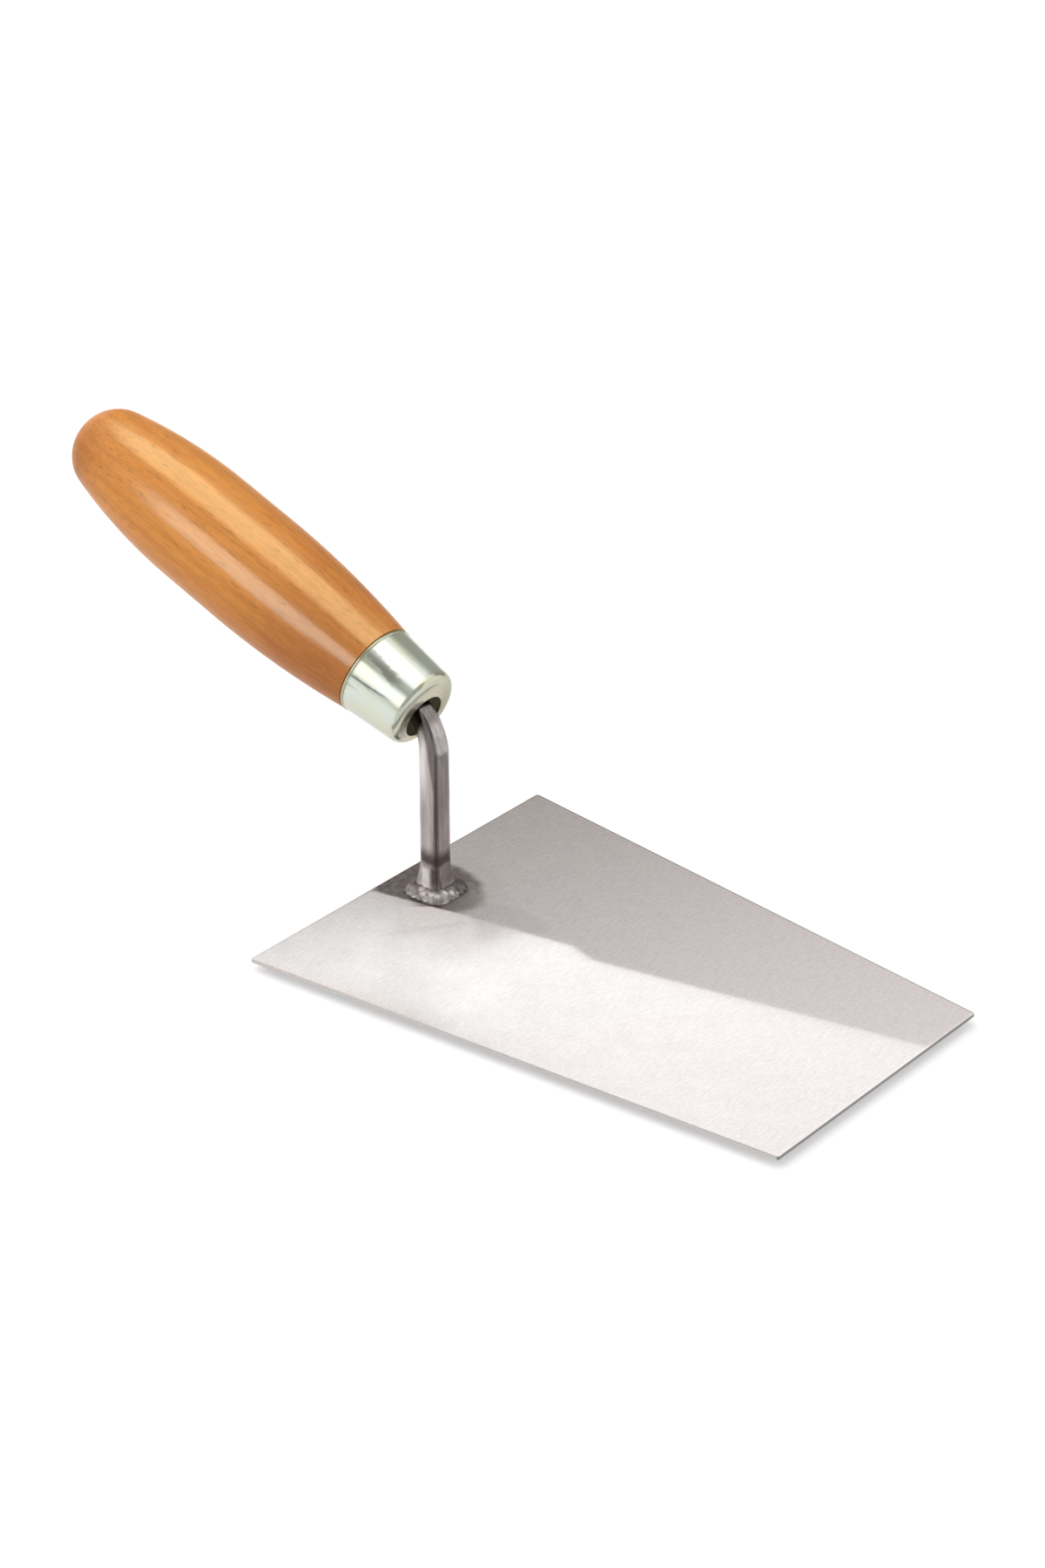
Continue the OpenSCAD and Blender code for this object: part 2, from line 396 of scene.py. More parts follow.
def sheared_edge(tree):
    """Two shares: 1 where the surface faces sideways and 0 on the flats; and 1 where it faces the front."""
    forward, _, upright = split(tree, add_node(tree, "ShaderNodeTexCoord").outputs["Normal"])
    sideways = remap(tree, arithmetic(tree, "ABSOLUTE", upright), 0.4, 0.9, 1, 0)
    return sideways, remap(tree, forward, 0.3, 0.8, 0, 1)


# %% Ground steel
def ground_steel():
    """Mottled grey, multiplied by the heat tint and by painted shade round the foot, with the sheared edges,
    painted light and shade, on top.
    """
    material, tree, shader = start_material("ground_steel", Metallic=1.0, Anisotropic=1.0)
    clouds = noise(tree, placed_coords(tree, (110, 110, 0)), detail=6, roughness=0.6)
    scratches = noise(tree, placed_coords(tree, (1300, 260, 0), turn=(0, 0, grind_angle)), detail=3)
    specks = noise(tree, placed_coords(tree, (900, 900, 0)), detail=2)
    fine = plus(tree, remap(tree, scratches, 0.3, 0.7, 0, 0.35), remap(tree, specks, 0.3, 0.7, 0, 0.3))
    mottle = plus(tree, remap(tree, clouds, 0.3, 0.7, 0, 0.35), fine)
    metal = blend_colours(tree, mottle, (0.495, 0.452, 0.44), (0.605, 0.556, 0.542))

    # The slanted line is the edge of the bright reflection; the heat tint and the painted shade end along it,
    # so that edge is painted.
    beyond = past_line(tree, start=-10.0, slope=0.236, soft=0.6)
    soot = remap(tree, noise(tree, placed_coords(tree, (420, 420, 0)), detail=4), 0.3, 0.7, 0.78, 1.0)
    patch = bloom(tree, middle=(-5.0, 0.0), reach=(24.5, 16.0), lean=0, full=0.76, waver=0.07)
    # The patch is heat tint; the tail and the halo are painted shade round the foot.
    shade_tail = bloom(tree, middle=(25.0, -0.5), reach=(20.0, 8.0), lean=13, full=0.65, waver=0.08)
    shade_halo = bloom(tree, middle=(2.0, 0.0), reach=(34.0, 26.0), lean=12, full=0.3, waver=0.1)
    core = times(tree, times(tree, patch, soot), beyond)
    forward = split(tree, object_coords(tree))["X"]
    burnt = times(tree, core, fade(tree, forward, 0, 16, 1.0, 0.42))
    faint_shade = plus(tree, times(tree, shade_halo, 0.1), times(tree, times(tree, shade_tail, beyond), 0.13))
    tint_and_shade = paint(tree, (1, 1, 1), [(faint_shade, (0.45, 0.40, 0.39)), (burnt, (0.28, 0.245, 0.23))])
    tinted_and_shaded = blend_colours(tree, 1.0, metal, tint_and_shade, "MULTIPLY")

    # Painted light and shade on the sheared edges: the near edges are painted near white, the front edge
    # dark.
    edge, front_edge_shade = sheared_edge(tree)
    sheared = blend_colours(tree, front_edge_shade, (0.9, 0.88, 0.87), (0.36, 0.35, 0.345))
    tree.links.new(blend_colours(tree, edge, tinted_and_shaded, sheared), shader.inputs["Base Color"])
    satin = remap(tree, clouds, 0.3, 0.7, 0.235, 0.265)
    dull = plus(tree, satin, times(tree, core, 0.2))
    tree.links.new(larger(tree, dull, times(tree, edge, 0.5)), shader.inputs["Roughness"])
    across = add_node(tree, "ShaderNodeTangent", direction_type="UV_MAP", uv_map="across_grind")
    tree.links.new(across.outputs["Tangent"], shader.inputs["Tangent"])
    add_bump(tree, shader, scratches, depth=0.003)
    return material


fit_piece(blade, "blade", ground_steel())

# %% [markdown]
# ## The tang
# One square bar makes the foot, the shank, the bend and the spike. Its section is a superellipse, a square
# with soft edges: |x|^p + |y|^p = half^p. The section is carried along a path of stations, each with a
# centre, a direction that points outwards and half the bar's side, so the flare and the taper are only
# changes of that side.

# %% Tang surface
bar_side = 7.2
bar_edge_radius = 1.4
shank_height = 47.5
bend_radius = 16.0
spike_side = 5.7
tip_side = 2.4
spike_length = 72.0
point_length = 4.0
foot_side = 11.6
foot_height = 12.0
foot_flare = 2.0
hammer_depth = 0.006
handle_tilt = np.radians(20.4)
ferrule_reach = 7.7

edge_cut = 1 - np.sqrt(0.5)
section_power = -np.log(2) / np.log(1 - edge_cut * 2 * bar_edge_radius / bar_side)
axis_dir = np.array([-np.cos(handle_tilt), 0, np.sin(handle_tilt)])
axis_up = np.array([np.sin(handle_tilt), 0, np.cos(handle_tilt)])
bend_centre = np.array([-bend_radius, 0, thickness + shank_height])
bend_end = bend_centre + bend_radius * axis_up
mouth = bend_end - ferrule_reach * axis_dir
around_bar = np.linspace(0, 2 * np.pi, 120, endpoint=False)


def section_reach(half, angle):
    """Distance from the bar's middle to its skin: half / (|cos|^p + |sin|^p)^(1/p)."""
    soft = np.abs(np.cos(angle)) ** section_power + np.abs(np.sin(angle)) ** section_power
    return half / soft ** (1 / section_power)


def foot_half(z):
    """Half the bar's side at a height z above the blade; it swells towards the blade by a share of
    (1 - z / height)^flare."""
    return bar_side / 2 + (foot_side - bar_side) / 2 * np.maximum(0, 1 - z / foot_height) ** foot_flare


def tang_stations():
    """Centres, outward directions and half sides along the bar, from the blade to the spike's end."""
    rise = np.concatenate([np.linspace(0, foot_height, 28), np.linspace(foot_height, shank_height, 30)[1:]])
    straight = np.column_stack([np.zeros_like(rise), np.zeros_like(rise), thickness + rise])
    turn = np.linspace(0, np.pi / 2 - handle_tilt, 28)[1:]
    bend_out = np.column_stack([np.cos(turn), np.zeros_like(turn), np.sin(turn)])
    run = np.linspace(0, spike_length - point_length, 14)[1:]
    centres = np.concatenate([
        straight,
        bend_centre + bend_radius * bend_out,
        bend_end + run[:, None] * axis_dir,
    ])
    outward = np.concatenate([
        np.tile([1.0, 0, 0], (len(rise), 1)),
        bend_out,
        np.tile(axis_up, (len(run), 1)),
    ])
    half = np.concatenate([
        foot_half(rise),
        np.linspace(bar_side, spike_side, len(turn) + 1)[1:] / 2,
        np.linspace(spike_side, tip_side, len(run) + 1)[1:] / 2,
    ])
    return centres, outward, half


def tang_surface():
    """Point at (station, angle a) = centre + reach (cos a outward + sin a Y). Slow waves press the skin in a
    little here and there, as on a bar that was drawn and hammered."""
    centres, outward, half = tang_stations()
    along = np.arange(len(half))[:, None]
    waves = np.sin(0.41 * along + 2 * around_bar) * np.sin(0.17 * along + 3 * around_bar + 1.0)
    reach = section_reach(half[:, None], around_bar[None, :]) * (1 - hammer_depth * (1 + waves))
    out_share = np.cos(around_bar)[None, :, None]
    side_share = np.sin(around_bar)[None, :, None]
    ring = out_share * outward[:, None, :] + side_share * np.array([0, 1.0, 0])
    return centres[:, None, :] + reach[:, :, None] * ring


spike_point = bend_end + spike_length * axis_dir
tang = build_piece("bent_tang", tang_surface(), [[0, 0, thickness], spike_point], crease=60)

# %% [markdown]
# ## Drawn bar steel
# The bar was never polished. It keeps a grey mill skin with lengthwise drawing marks, which are noise
# stretched along Z. Besides darker patches, its marks are painted light and shade: a dark collar of shade
# just above the foot's flare, dark reflections down the foot's front edge and on the outside of the bend,
# highlights beside them, and shade where the bar goes into the ferrule. Each mark could be drawn by hand on
# an unwrapped skin, but here it is a band of places across the bar times a band of heights, so that a few
# numbers say where it lies.

# %% Marks on the bar
# Turn of the foot's front edge, the one that faces the camera, where dark reflections are painted.
facing_edge_turn = np.radians(40)


def handle_coords(tree, across, along):
    """Object coordinates turned so that Z runs along the handle, with so many features to each metre."""
    shift = (-(mouth @ axis_up) * MM, 0, -(mouth @ axis_dir) * MM)
    coords = placed_coords(tree, turn=(0, np.pi / 2 - handle_tilt, 0), shift=shift)
    factors = {0: coords, 1: (across, across, along)}
    return add_node(tree, "ShaderNodeVectorMath", factors, operation="MULTIPLY").outputs[0]


def across_facing_edge(tree):
    """Place across the foot as seen from its front edge: 0 on that edge and negative to its left."""
    return split(tree, placed_coords(tree, turn=(0, 0, -facing_edge_turn)))["X"]


def foot_reflection_and_shade(tree, height):
    """Share of painted dark reflection and shade: a band down the foot's front edge, weaker ones on its
    flanks, a thin one up the bar."""
    across = across_facing_edge(tree)
    flanks = larger(tree, fade(tree, across, -6.4, -5.0, 0.5, 0), fade(tree, across, 0.5, 5.0, 0.2, 0.55))
    foot = larger(tree, band(tree, across, middle=0, core=0.8, rim=1.9, strength=0.85), flanks)
    on_foot = times(tree, fade(tree, height, 10, 12, 1, 0), fade(tree, height, 3.5, 6, 0.25, 1))
    bar = band(tree, across, middle=0.35, core=0.3, rim=1.0, strength=0.12)
    return larger(tree, times(tree, foot, on_foot), times(tree, bar, fade(tree, height, 40, 50, 1, 0)))


def foot_highlight(tree, height):
    """Share of painted highlight on the foot's near side, left of the dark band."""
    bright = band(tree, across_facing_edge(tree), middle=-3.0, core=0.6, rim=1.7, strength=0.85)
    return times(tree, bright, fade(tree, height, 9, 11, 1, 0))


def bend_reflections(tree):
    """Shares of painted dark reflection and of painted highlight on the near side of the bend. The dark fills
    the outer half and narrows down the bar; the highlight is on the inner half. The place across the side is
    sqrt((x + R)^2 + max(z - z0, 0)^2) - R, for a bend of radius R that starts at z0."""
    x, y, height = split(tree, object_coords(tree))
    risen = larger(tree, arithmetic(tree, "SUBTRACT", height, bend_centre[2] * MM), 0)
    from_centre = {"X": plus(tree, x, bend_radius * MM), "Y": risen}
    radius = length(tree, add_node(tree, "ShaderNodeCombineXYZ", from_centre).outputs["Vector"])
    outer = arithmetic(tree, "SUBTRACT", radius, bend_radius * MM)
    near_side = fade(tree, y, -2.9, -2.0, 1, 0)
    widened = plus(tree, outer, fade(tree, height, 34, 53, 0, 2.3 * MM))
    scale = times(tree, fade(tree, widened, 2.0, 3.2, 0, 0.72), near_side)
    bright = times(tree, fade(tree, outer, -1.2, 0.5, 0.85, 0), near_side)
    return scale, times(tree, bright, fade(tree, height, 30, 44, 0, 1))


# %% Drawn bar steel
def drawn_steel():
    """Grey skin with darker patches, then painted shade in the collar, painted dark reflections, painted
    highlights and painted shade where the bar goes into the ferrule.
    """
    material, tree, shader = start_material("drawn_steel", Metallic=1.0)
    marks = noise(tree, placed_coords(tree, (900, 900, 45)), detail=4)
    patches = noise(tree, placed_coords(tree, (170, 170, 70)), detail=4)
    height = split(tree, object_coords(tree))["Z"]
    wobble = plus(tree, height, remap(tree, patches, 0.2, 0.8, -0.8 * MM, 0.8 * MM))
    # Painted shade: a dark collar just above the foot's flare.
    collar = times(tree, fade(tree, wobble, 10.2, 12.2, 0, 1), fade(tree, wobble, 13.4, 17.5, 1, 0))
    bend_dark_reflection, bend_highlight = bend_reflections(tree)
    along_handle = split(tree, handle_coords(tree, 1, 1))["Z"]
    streak = remap(tree, marks, 0.3, 0.7, 0, 1)
    skin = blend_colours(tree, streak, (0.41, 0.372, 0.362), (0.57, 0.527, 0.515))
    # Over the skin go random darker patches, then painted light and shade: the collar, dark reflections,
    # highlights and the shade at the ferrule.
    finished = paint(tree, skin, [
        (remap(tree, patches, 0.45, 0.75, 0, 0.6), (0.22, 0.19, 0.18)),
        (times(tree, collar, 0.92), (0.10, 0.075, 0.07)),
        (larger(tree, foot_reflection_and_shade(tree, height), bend_dark_reflection), (0.085, 0.068, 0.064)),
        (larger(tree, foot_highlight(tree, height), bend_highlight), (0.86, 0.82, 0.81)),
        # Painted shade where the bar goes into the ferrule.
        (fade(tree, along_handle, -6.0, -2.5, 0, 0.6), (0.10, 0.08, 0.07)),
    ])
    tree.links.new(finished, shader.inputs["Base Color"])
    tree.links.new(remap(tree, patches, 0.3, 0.7, 0.15, 0.24), shader.inputs["Roughness"])
    add_bump(tree, shader, marks, depth=0.02)
    return material


fit_piece(tang, "tang", drawn_steel())

# %% [markdown]
# ## The weld
# A hand weld is a row of small puddles, each frozen over the edge of the one before. Seen from above, the
# outer line is the union of overlapping discs, so the bead's width at an angle is the largest of many
# half-circle humps with slightly uneven places and sizes. A seeded generator gives that unevenness and
# always gives the same one.

# %% Weld surface
bead_width = 2.5
bead_height = 2.8
bead_puddles = 13
puddle_drift = 0.22
puddle_smallest = 0.72
puddle_spread = 0.66
fit_gap = 0.1
around_weld = np.linspace(0, 2 * np.pi, 360, endpoint=False)
rng = np.random.default_rng(7)


def puddle_humps():
    """Largest over all puddles of size sqrt(1 - (angle / half width)^2), at every angle round the foot."""
    step = 2 * np.pi / bead_puddles
    middles = step * (np.arange(bead_puddles) + rng.uniform(-puddle_drift, puddle_drift, bead_puddles))
    sizes = rng.uniform(puddle_smallest, 1.0, bead_puddles)
    away = (around_weld[:, None] - middles[None, :] + np.pi) % (2 * np.pi) - np.pi
    humps = sizes * np.sqrt(np.maximum(0, 1 - (away / (puddle_spread * step)) ** 2))
    return humps.max(axis=1)


humps = puddle_humps()


def weld_surface():
    """Closed ring: up the foot's wall, over a quarter-ellipse face and back along the blade.
    The face's width and height both swell with the humps."""
    face = np.radians(np.linspace(0, 90, 16))
    out_share = np.concatenate([np.zeros(6), np.sin(face), [0.6, 0.3]])
    up_share = np.concatenate([np.linspace(0, 1, 7)[:-1], np.cos(face), [0, 0]])
    swell = 0.62 + 0.5 * humps
    ripple = 1 + 0.05 * np.sin(9 * up_share[:, None] + 23 * around_weld[None, :])
    height = bead_height * up_share[:, None] * (0.75 + 0.35 * humps[None, :])
    width = bead_width * out_share[:, None] * swell[None, :] * ripple
    reach = section_reach(foot_half(height), around_weld[None, :]) + fit_gap + width
    return np.stack([reach * np.cos(around_weld), reach * np.sin(around_weld), thickness + height], axis=2)


weld_grid = weld_surface()
weld = build_piece("weld_bead_puddles", weld_grid, crease=70)

# %% [markdown]
# ## Weld metal
# Crests are rubbed bright and slag stays in the hollows. The side that faces the camera is painted lighter
# as a highlight, and the back darker as shade. The small round beads are the cells of a Voronoi pattern,
# each bright by chance, because plain noise would give streaks and not beads. The humps are known for each
# point, so they are stored on the mesh as an attribute, and the material reads them back to brighten the
# crests.

# %% Weld metal
# Turn of the side that faces the camera, which is painted lighter.
lit_side_turn = np.radians(60)


def store_value(piece, name, values):
    """Keeps one number for each point of a piece."""
    stored = piece.data.attributes.new(name, "FLOAT", "POINT")
    stored.data.foreach_set("value", np.ascontiguousarray(values, np.float32).ravel())


def weld_metal():
    """Dark hollows with round bright beads, brightest on the crests and, as painted highlight, on the side
    that faces the camera; the back is painted shade.
    """
    material, tree, shader = start_material("weld_metal", Metallic=1.0)
    crest = add_node(tree, "ShaderNodeAttribute", attribute_name="crest").outputs["Fac"]
    cells = {"Vector": placed_coords(tree, (470, 470, 470)), "Scale": 1.0}
    beads = add_node(tree, "ShaderNodeTexVoronoi", cells).outputs
    lump = remap(tree, beads["Distance"], 0.2, 0.75, 1, 0)
    chance = add_node(tree, "ShaderNodeSeparateColor", {"Color": beads["Color"]}).outputs["Red"]
    spot = times(tree, lump, remap(tree, chance, 0.15, 0.6, 0.3, 1))
    shown = times(tree, spot, remap(tree, crest, 0.2, 0.8, 0.6, 1))
    # Painted light: lighter on the side that faces the camera, darker at the back.
    lit_side_place = split(tree, placed_coords(tree, turn=(0, 0, lit_side_turn)))["X"]
    lit_side = fade(tree, lit_side_place, 0.5, 7, 0.1, 1)
    bright = times(tree, shown, lit_side)
    # The hollows are dark with slag; towards the back they are painted darker still, as shade.
    hollow = blend_colours(tree, lit_side, (0.13, 0.112, 0.107), (0.36, 0.32, 0.31))
    tree.links.new(blend_colours(tree, bright, hollow, (0.92, 0.88, 0.86)), shader.inputs["Base Color"])
    tree.links.new(remap(tree, bright, 0, 1, 0.5, 0.3), shader.inputs["Roughness"])
    add_bump(tree, shader, lump, depth=0.16)
    return material


store_value(weld, "crest", np.tile(humps, (weld_grid.shape[0], 1)))
fit_piece(weld, "weld_bead", weld_metal())

# %% [markdown]
# ## The ferrule
# The ferrule is a cap drawn from sheet: a cone with a rounded shoulder, a rolled bead on its rim and a hole
# in its front. All of it is one profile turned about the handle's axis, except that the hole is centred on
# the bent bar and so sits lower than the axis. Each point of the profile therefore carries a share of that
# drop.

# %% Ferrule surface
ferrule_length = 21.6
ferrule_rim_radius = 14.65
ferrule_front_radius = 12.65
ferrule_wall = 0.8
ferrule_shoulder = 3.0
rim_bead_radius = 0.7
rim_bead_proud = 0.15
mouth_clearance = 2.7
hole_round = 0.25

mouth_drop = bend_radius - np.sqrt(bend_radius ** 2 - ferrule_reach ** 2)
mouth_radius = (bar_side / 2 - bar_edge_radius) * np.sqrt(2) + bar_edge_radius + mouth_clearance
cone_slope = (ferrule_rim_radius - ferrule_front_radius) / ferrule_length
cone_angle = np.degrees(np.arctan(cone_slope))
cone_stretch = np.sqrt(1 + cone_slope ** 2)
around_axis = np.linspace(0, 2 * np.pi, 240, endpoint=False)


def ferrule_bore(at):
    """Inner radius of the cone at a distance from the front face."""
    return ferrule_front_radius + cone_slope * at - ferrule_wall * cone_stretch


def turned(profile, drop=0.0):
    """Turns a profile of (radius, place along the axis) about the handle's axis; drop lowers each ring."""
    spoke = np.cos(around_axis)[:, None] * axis_up + np.sin(around_axis)[:, None] * np.array([0, 1.0, 0])
    lowered = -np.broadcast_to(drop, len(profile))[:, None] * axis_up
    middle = mouth + profile[:, 1:] * axis_dir + lowered
    return middle[:, None, :] + profile[:, :1, None] * spoke[None, :, :]


def ferrule_profile():
    """Hole, front face, shoulder, cone, rolled rim, then back along the inside; and each point's drop."""
    shoulder_r = ferrule_front_radius + ferrule_shoulder * (cone_slope - cone_stretch)
    shoulder = [shoulder_r, ferrule_shoulder]
    bead = [ferrule_rim_radius + rim_bead_proud - rim_bead_radius, ferrule_length - rim_bead_radius]
    depth = (ferrule_front_radius + cone_slope * bead[1] - bead[0]) / cone_stretch
    bead_start = -cone_angle - np.degrees(np.arccos(depth / rim_bead_radius))
    hole = np.concatenate([
        [[mouth_radius, ferrule_wall - hole_round]],
        arc([mouth_radius + hole_round, hole_round], hole_round, 180, 270, 6),
    ])
    skin = np.concatenate([
        arc(shoulder, ferrule_shoulder, -90, -cone_angle, 20),
        arc(bead, rim_bead_radius, bead_start, 90, 18),
    ])
    inside = np.concatenate([
        [[ferrule_bore(ferrule_length), ferrule_length]],
        arc(shoulder, ferrule_shoulder - ferrule_wall, -cone_angle, -90, 12),
        [[mouth_radius + hole_round, ferrule_wall]],
    ])
    drop = np.concatenate([np.ones(len(hole)), np.zeros(len(skin) + len(inside) - 1), [1]]) * mouth_drop
    return np.concatenate([hole, skin, inside]), drop


ferrule = build_piece("drawn_ferrule", turned(*ferrule_profile()), crease=35)

# %% [markdown]
# ## Zinc plate
# The cap is plated with bright zinc and passivated, which leaves a faint yellow-green cast that drifts from
# place to place. Handling has drawn fine streaks along it. Two longer dark streaks along it are painted
# reflections, the first with a smudge in it. The front has an olive cast, laid on more strongly towards its
# far side as painted shade; a darker patch there is painted shade too, and the rim is painted dark as shade
# where it meets the wood. The pattern's axes are turned onto the handle's axis, so that streaks, scuffs and
# bands follow the cap, and no unwrapping is needed.

# %% Painted reflection streaks on the cap
streak_middle = 12.5


def reflection_streak(tree, angle, width, slant, strength):
    """Share of a dark streak along the cap, a painted reflection, at an angle about the handle's axis. Its
    line moves sideways by slant times the place past the streak's middle, and noise makes its rim ragged;
    sizes in millimetres."""
    about_axis = {"Vector": handle_coords(tree, 1, 1), "Rotation": (0, 0, -np.radians(angle))}
    out, off, place = split(tree, add_node(tree, "ShaderNodeMapping", about_axis).outputs["Vector"])
    slid = times(tree, arithmetic(tree, "SUBTRACT", place, streak_middle * MM), slant)
    from_line = arithmetic(tree, "ABSOLUTE", arithmetic(tree, "SUBTRACT", off, slid))
    frayed = 0.3 * width * MM
    ragged = remap(tree, noise(tree, handle_coords(tree, 900, 420), detail=4), 0.3, 0.7, -frayed, frayed)
    line = fade(tree, plus(tree, from_line, ragged), 0.4 * width, 1.1 * width, strength, 0)
    on_cone = times(tree, line, fade(tree, place, 4, 10, 0, 1))
    return times(tree, on_cone, fade(tree, out, 0, 4, 0, 1))


# %% Zinc plate
def zinc_plate():
    """Pale plate with a drifting cast, then scuffs, streaks, two painted reflection streaks, the olive front
    with painted shade on its far side, and the rim's painted shade.
    """
    material, tree, shader = start_material("zinc_plate", Metallic=1.0)
    cast = noise(tree, handle_coords(tree, 140, 90), detail=3)
    scuffs = noise(tree, handle_coords(tree, 900, 60), detail=3)
    streaks = noise(tree, handle_coords(tree, 380, 45), detail=2)
    _, sideways, place = split(tree, handle_coords(tree, 1, 1))
    front = fade(tree, place, 1.5, 4.0, 0.85, 0)
    plate = blend_colours(tree, remap(tree, cast, 0.35, 0.65, 0, 1), (0.77, 0.80, 0.66), (0.75, 0.81, 0.74))
    finished = paint(tree, plate, [
        (remap(tree, scuffs, 0.5, 0.8, 0, 0.35), (0.56, 0.57, 0.48)),
        (remap(tree, streaks, 0.62, 0.72, 0, 0.55), (0.36, 0.37, 0.32)),
        # Painted reflections: two dark streaks along the cap, the first with a smudge in it.
        (reflection_streak(tree, angle=-37.5, width=1.8, slant=0.15, strength=0.75), (0.33, 0.315, 0.30)),
        (reflection_streak(tree, angle=-67, width=0.5, slant=-0.075, strength=0.9), (0.30, 0.33, 0.35)),
        # The front has an olive cast, laid on more strongly towards the far side as painted shade.
        (times(tree, front, fade(tree, sideways, -9, -2, 0.2, 1)), (0.63, 0.62, 0.46)),
        # Painted shade on the far side of the front.
        (times(tree, front, fade(tree, sideways, 3, 9, 0, 0.6)), (0.34, 0.34, 0.25)),
        # Painted shade on the rim where it meets the wood.
        (fade(tree, place, ferrule_length - 2.0, ferrule_length - 0.9, 0, 0.85), (0.46, 0.45, 0.30)),
    ])
    tree.links.new(finished, shader.inputs["Base Color"])
    tree.links.new(remap(tree, cast, 0.3, 0.7, 0.16, 0.23), shader.inputs["Roughness"])
    add_bump(tree, shader, plus(tree, cast, times(tree, scuffs, 0.15)), depth=0.06)
    return material


fit_piece(ferrule, "ferrule", zinc_plate())

# %% [markdown]
# ## The handle
# The handle was turned on a lathe, so one profile and one turn make it: a tenon under the ferrule, a long
# curved taper to a straight middle, an arc that falls away to a round butt, and the small nib that the
# lathe's centre leaves. The tapered socket for the spike is part of the same profile, which starts and ends
# on the axis.

# %% Handle surface
handle_length = 127.5
belly_radius = 18.97
collar_radius = 14.75
taper_length = 53.0
belly_length = 21.0
butt_radius = 13.08
nib_radius = 1.3
nib_height = 1.7
nib_round = 0.4
nose_gap = 0.5
socket_relief = 4.0

nose_at = ferrule_reach + nose_gap
belly_from = ferrule_length + taper_length
belly_to = belly_from + belly_length
butt_at = ferrule_length + handle_length
socket_end = ferrule_reach + spike_length + socket_relief
tip_at = ferrule_reach + spike_length - point_length
diagonal_share = (bar_side / 2 - bar_edge_radius) * np.sqrt(2) / bar_side + bar_edge_radius / bar_side


def handle_profile():
    """Socket, tenon, collar, taper arc, back arc, butt arc and nib, as (radius, place along the axis)."""
    taper_drop = belly_radius - collar_radius
    taper_arc = (taper_length ** 2 + taper_drop ** 2) / (2 * taper_drop)
    taper_angle = np.degrees(np.arcsin(taper_length / taper_arc))
    butt_run = butt_at - butt_radius - belly_to
    butt_drop = belly_radius - nib_radius
    back_arc = (butt_run ** 2 + butt_drop ** 2 - butt_radius ** 2) / (2 * (butt_drop - butt_radius))
    back_angle = np.degrees(np.arcsin(butt_run / (back_arc - butt_radius)))
    nose_share = (nose_at - ferrule_reach) / (tip_at - ferrule_reach)
    socket_mouth = (spike_side + (tip_side - spike_side) * nose_share) * diagonal_share + fit_gap
    socket_tip = tip_side * diagonal_share + fit_gap
    return np.concatenate([
        [[socket_tip, socket_end], [socket_tip, tip_at], [socket_mouth, nose_at]],
        [[ferrule_bore(nose_at) - fit_gap, nose_at]],
        [[ferrule_bore(ferrule_length) - fit_gap, ferrule_length]],
        arc([belly_radius - taper_arc, belly_from], taper_arc, -taper_angle, 0, 60),
        arc([belly_radius - back_arc, belly_to], back_arc, 0, back_angle, 50),
        arc([nib_radius, butt_at - butt_radius], butt_radius, back_angle, 90, 40)[1:],
        arc([nib_radius - nib_round, butt_at + nib_height - nib_round], nib_round, 0, 90, 5),
    ])


axis_ends = [mouth + socket_end * axis_dir, mouth + (butt_at + nib_height) * axis_dir]
handle = build_piece("turned_handle", turned(handle_profile()), axis_ends, crease=35)

# %% [markdown]
# ## Lacquered beech
# Beech shows long fibres, soft growth rings and short dark flecks. The rings are cylinders about the tree's
# pith, which lies outside the handle and leans a little, so the cut surface shows them as long drawn-out
# curves. Fibres, pores and flecks are noise squeezed across the handle and stretched along it. The wood is
# paler in the middle of its length, and painted shade darkens its low side near the ferrule and near the
# butt. A clear lacquer lies on top as the shader's coat, which gives the two long highlights without
# bleaching the colour below.

# %% Lacquered beech
def growth_rings(tree, grain):
    """Rings about the pith, whose line is shifted and turned away from the handle's axis."""
    pith = add_node(tree, "ShaderNodeMapping", {
        "Vector": grain,
        "Location": (0.045, 0.06, 0.0),
        "Rotation": (0.05, 0.035, 0.0),
        "Scale": (1, 1, 0.25),
    }).outputs["Vector"]
    rings = {"Vector": pith, "Scale": 75.0, "Distortion": 3.2, "Detail": 3.0, "Detail Scale": 1.6}
    return add_node(tree, "ShaderNodeTexWave", rings, wave_type="RINGS", rings_direction="Z").outputs["Fac"]


